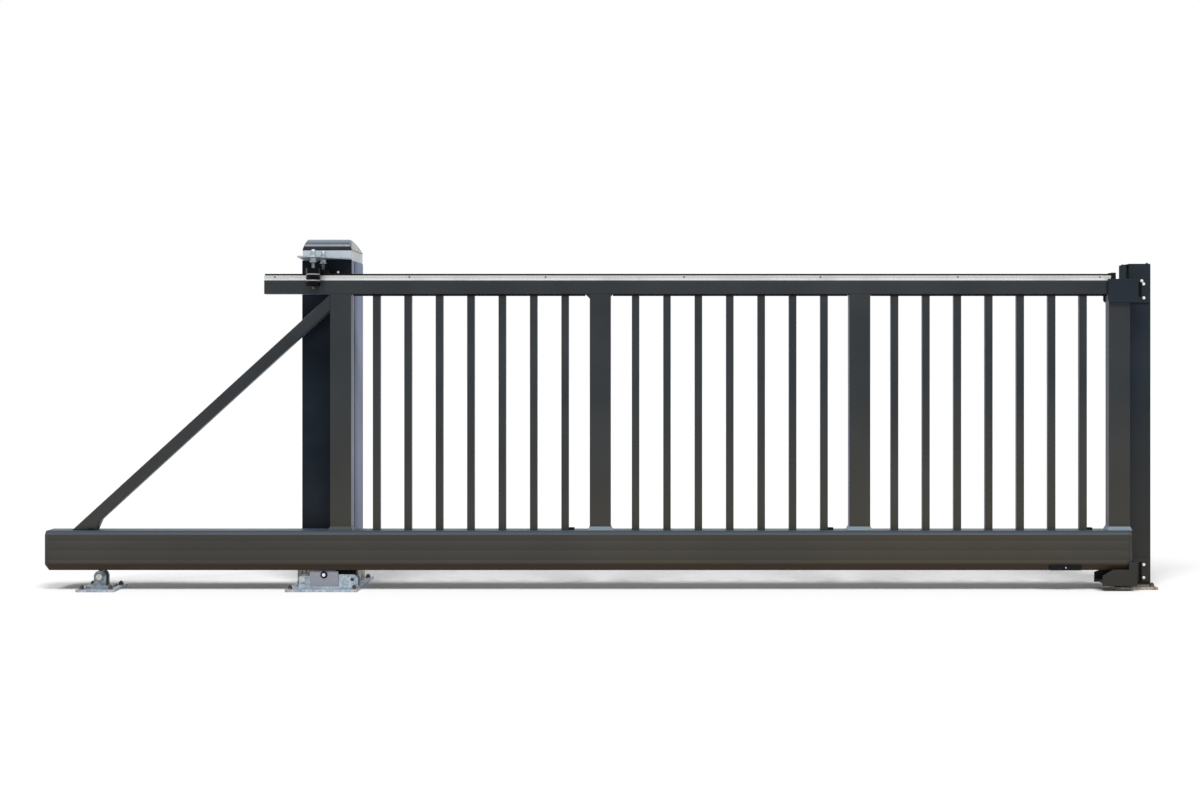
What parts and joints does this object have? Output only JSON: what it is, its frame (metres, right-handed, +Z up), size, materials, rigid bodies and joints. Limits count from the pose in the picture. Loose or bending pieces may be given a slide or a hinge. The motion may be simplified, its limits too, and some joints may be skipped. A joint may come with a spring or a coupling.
{
  "type": "cantilever sliding driveway gate",
  "caption": "Self-supporting sliding gate: slatted leaf on a C-track beam, two roller supports, drive cabinet with top guide, closing post with catches.",
  "frame": {"origin": "underside of the main carriage's base plate, on the ground, below the pivot and in the middle plane of the leaf", "axes": "+X along the closed leaf towards the closing post, +Y to the cabinet side, +Z up"},
  "size_m": [5.292, 0.515, 1.684],
  "materials": {
    "anthracite": "fine-structured anthracite powder coat, satin",
    "bare_aluminium": "mill finish",
    "dark_plastic": "moulded, matt",
    "galvanised_steel": "hot-dip galvanised, mottled",
    "zinc_plated_steel": "bright zinc plated",
    "black_nylon": "turned black nylon",
    "white_diffuser": "opal light band"
  },
  "bodies": {
    "ground_frame": {"main_base_plate": "galvanised_steel", "carriage_bracket": "galvanised_steel", "carriage_ear_bolts": "zinc_plated_steel", "carriage_housing": "galvanised_steel", "carriage_pivot": "zinc_plated_steel", "pivot_spacers": "zinc_plated_steel", "bogie_frame": "zinc_plated_steel", "bogie_axles": "zinc_plated_steel", "bogie_wheels": "zinc_plated_steel", "rear_base_plate": "galvanised_steel", "rear_fork": "galvanised_steel", "rear_pivot_bolt": "zinc_plated_steel", "rear_bogie": "zinc_plated_steel", "rear_axle": "zinc_plated_steel", "rear_wheels": "zinc_plated_steel", "cabinet_body": "anthracite", "cabinet_light_band": "white_diffuser", "cabinet_lid": "anthracite", "cabinet_feet": "galvanised_steel", "guide_mount_plate": "anthracite", "guide_arm_plate": "galvanised_steel", "guide_bolts": "zinc_plated_steel", "closing_post": "anthracite", "post_cap": "dark_plastic", "post_base_plate": "galvanised_steel", "top_catch": "anthracite", "bottom_catch": "anthracite"},
    "leaf": {"track_beam": "anthracite", "beam_end_caps": "dark_plastic", "stile_left": "anthracite", "stile_middle_left": "anthracite", "stile_middle_right": "anthracite", "stile_right": "anthracite", "stile_feet": "anthracite", "top_rail": "anthracite", "running_strip": "bare_aluminium", "strip_ridge": "dark_plastic", "rail_end_stop": "dark_plastic", "pickets_bay_1": "anthracite", "pickets_bay_2": "anthracite", "pickets_bay_3": "anthracite", "picket_bars": "anthracite", "diagonal_brace": "anthracite", "limit_block": "dark_plastic", "lead_in_fork": "galvanised_steel", "lead_in_roller": "black_nylon"},
    "front_roller": {"guide_roller_front": "black_nylon"},
    "rear_roller": {"guide_roller_rear": "black_nylon"}
  },
  "joints": [
    {"name": "leaf_slide", "type": "slide", "parent": "ground_frame", "child": "leaf", "axis": [-1, 0, 0], "range_m": [0, 3.6]},
    {"name": "front_roller_spin", "type": "hinge", "parent": "ground_frame", "child": "front_roller", "pos_m": [-0.047, -0.0638, 1.4885], "axis": [0, 0, 1], "continuous": true},
    {"name": "rear_roller_spin", "type": "hinge", "parent": "ground_frame", "child": "rear_roller", "pos_m": [-0.025, 0.0638, 1.4885], "axis": [0, 0, 1], "continuous": true}
  ]
}
